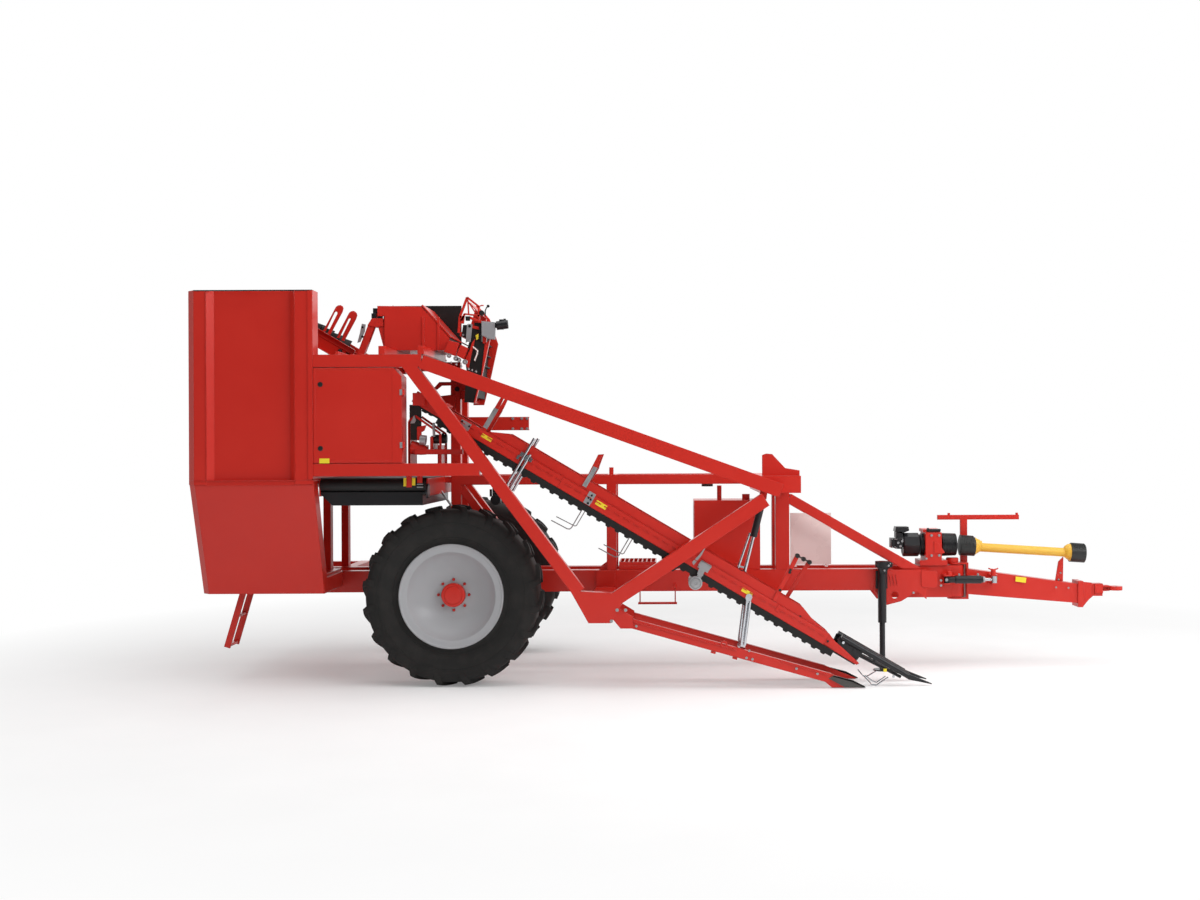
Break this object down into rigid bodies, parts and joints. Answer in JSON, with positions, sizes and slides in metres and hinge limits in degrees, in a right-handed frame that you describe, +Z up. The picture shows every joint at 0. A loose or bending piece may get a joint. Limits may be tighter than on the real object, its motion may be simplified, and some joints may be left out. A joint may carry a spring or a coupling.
{
  "type": "trailed root crop harvester",
  "caption": "Trailed harvester with a side lifting unit that pulls roots by their tops, conveyors, a rear bunker and a steering drawbar.",
  "frame": {"origin": "on the ground under the middle of the overall length and width", "axes": "+X forward along the drawbar, +Y to the machine's left, +Z up"},
  "size_m": [9.344, 3, 3.803],
  "materials": {
    "belt_rubber": "moulded black rubber",
    "black_paint": "black enamel",
    "chrome_rod": "hard chrome",
    "pale_panel": "pale moulded panel",
    "red_paint": "glossy red enamel over steel",
    "rim_grey": "light grey enamel",
    "shaft_guard": "yellow moulded guard with black cones",
    "tyre_rubber": "moulded tyre rubber",
    "zinc_steel": "zinc plated steel"
  },
  "bodies": {
    "chassis": {"axle_stubs": "red_paint", "bunker_floor": "red_paint", "bunker_legs": "red_paint", "bunker_shell": "red_paint", "bunker_skirt": "red_paint", "bunker_stand": "red_paint", "cabinet": "red_paint", "cross_beam": "red_paint", "cross_belt": "belt_rubber", "cross_frame": "red_paint", "cross_guard": "belt_rubber", "elevator_belts": "belt_rubber", "elevator_motor": "black_paint", "front_braces": "red_paint", "front_neck": "red_paint", "front_portal": "red_paint", "hopper": "red_paint", "hopper_sheet": "belt_rubber", "hopper_stand": "red_paint", "jack_tube": "black_paint", "lift_shaft": "red_paint", "main_frame": "red_paint", "oil_tank": "red_paint", "pump_bracket": "red_paint", "pump_unit": "black_paint", "rear_elevator": "red_paint", "rear_ladder": "red_paint", "service_deck": "red_paint", "side_panel": "pale_panel", "side_step": "red_paint", "side_truss": "red_paint", "steep_elevator": "red_paint", "topping_frame": "red_paint", "upper_frame": "red_paint"},
    "wheel_right": {"tyre_right": "tyre_rubber", "rim_right": "rim_grey", "hub_right": "red_paint"},
    "wheel_left": {"tyre_left": "tyre_rubber", "rim_left": "rim_grey", "hub_left": "red_paint"},
    "door": {"cabinet_door": "red_paint"},
    "drawbar": {"drawbar": "red_paint", "hitch_eye": "red_paint", "drive_shaft": "shaft_guard", "shaft_bells": "black_paint", "hose_rack": "red_paint"},
    "steer_barrel": {"steer_barrel": "black_paint"},
    "steer_rod": {"steer_rod": "chrome_rod"},
    "jack_leg": {"jack_leg": "black_paint"},
    "lifting_unit": {"lift_channels": "red_paint", "lift_guards": "red_paint", "lift_belts": "belt_rubber", "lift_bosses": "red_paint", "lift_levers": "red_paint", "lift_tensioner": "zinc_steel", "divider_bars": "black_paint"},
    "share_arms": {"share_arms": "red_paint"},
    "link_rods": {"link_rods": "zinc_steel"},
    "lift_barrel": {"lift_barrel": "black_paint"},
    "lift_rod": {"lift_rod": "chrome_rod"}
  },
  "joints": [
    {"name": "wheel_right_spin", "type": "hinge", "parent": "chassis", "child": "wheel_right", "pos_m": [-2.2, -1.1, 0.875], "axis": [0, 1, 0], "continuous": true},
    {"name": "wheel_left_spin", "type": "hinge", "parent": "chassis", "child": "wheel_left", "pos_m": [-2.2, 1.1, 0.875], "axis": [0, 1, 0], "continuous": true},
    {"name": "door_swing", "type": "hinge", "parent": "chassis", "child": "door", "pos_m": [-2.618, -1.488, 2.6], "axis": [0, 0, 1], "range_deg": [0, 110]},
    {"name": "drawbar_steer", "type": "hinge", "parent": "chassis", "child": "drawbar", "pos_m": [2.905, 0, 0.89], "axis": [0, 0, 1], "range_deg": [-20, 20]},
    {"name": "steer_barrel_swing", "type": "hinge", "parent": "chassis", "child": "steer_barrel", "pos_m": [2.775, -0.23, 0.915], "axis": [0, 0, 1], "range_deg": [-15, 15]},
    {"name": "steer_rod_slide", "type": "slide", "parent": "steer_barrel", "child": "steer_rod", "axis": [1, 0, 0], "range_m": [-0.081, 0.081]},
    {"name": "jack_slide", "type": "slide", "parent": "chassis", "child": "jack_leg", "axis": [0, 0, 1], "range_m": [0, 0.4]},
    {"name": "lift_raise", "type": "hinge", "parent": "chassis", "child": "lifting_unit", "pos_m": [-2.486, -1.162, 2.768], "axis": [0, -1, 0], "range_deg": [0, 4.5]},
    {"name": "share_raise", "type": "hinge", "parent": "chassis", "child": "share_arms", "pos_m": [-0.52, -1.162, 0.64], "axis": [0, -1, 0], "range_deg": [0, 14.07]},
    {"name": "link_swing", "type": "hinge", "parent": "lifting_unit", "child": "link_rods", "pos_m": [0.657, -1.162, 0.862], "axis": [0, -1, 0], "range_deg": [-16.54, 0]},
    {"name": "lift_barrel_swing", "type": "hinge", "parent": "chassis", "child": "lift_barrel", "pos_m": [0.812, -1.162, 1.815], "axis": [0, -1, 0], "range_deg": [0, 6.7]},
    {"name": "lift_rod_slide", "type": "slide", "parent": "lift_barrel", "child": "lift_rod", "axis": [0.2471, 0, 0.969], "range_m": [0, 0.269]}
  ],
  "couplings": [
    {"joint": "share_raise", "follows": "lift_raise", "ratio": 3.1156},
    {"joint": "link_swing", "follows": "lift_raise", "ratio": -3.6643},
    {"joint": "lift_barrel_swing", "follows": "lift_raise", "ratio": 1.4782},
    {"joint": "lift_rod_slide", "follows": "lift_raise", "m_per_rad": 3.4189},
    {"joint": "steer_barrel_swing", "follows": "drawbar_steer", "ratio": 0.745},
    {"joint": "steer_rod_slide", "follows": "drawbar_steer", "m_per_rad": 0.23}
  ]
}
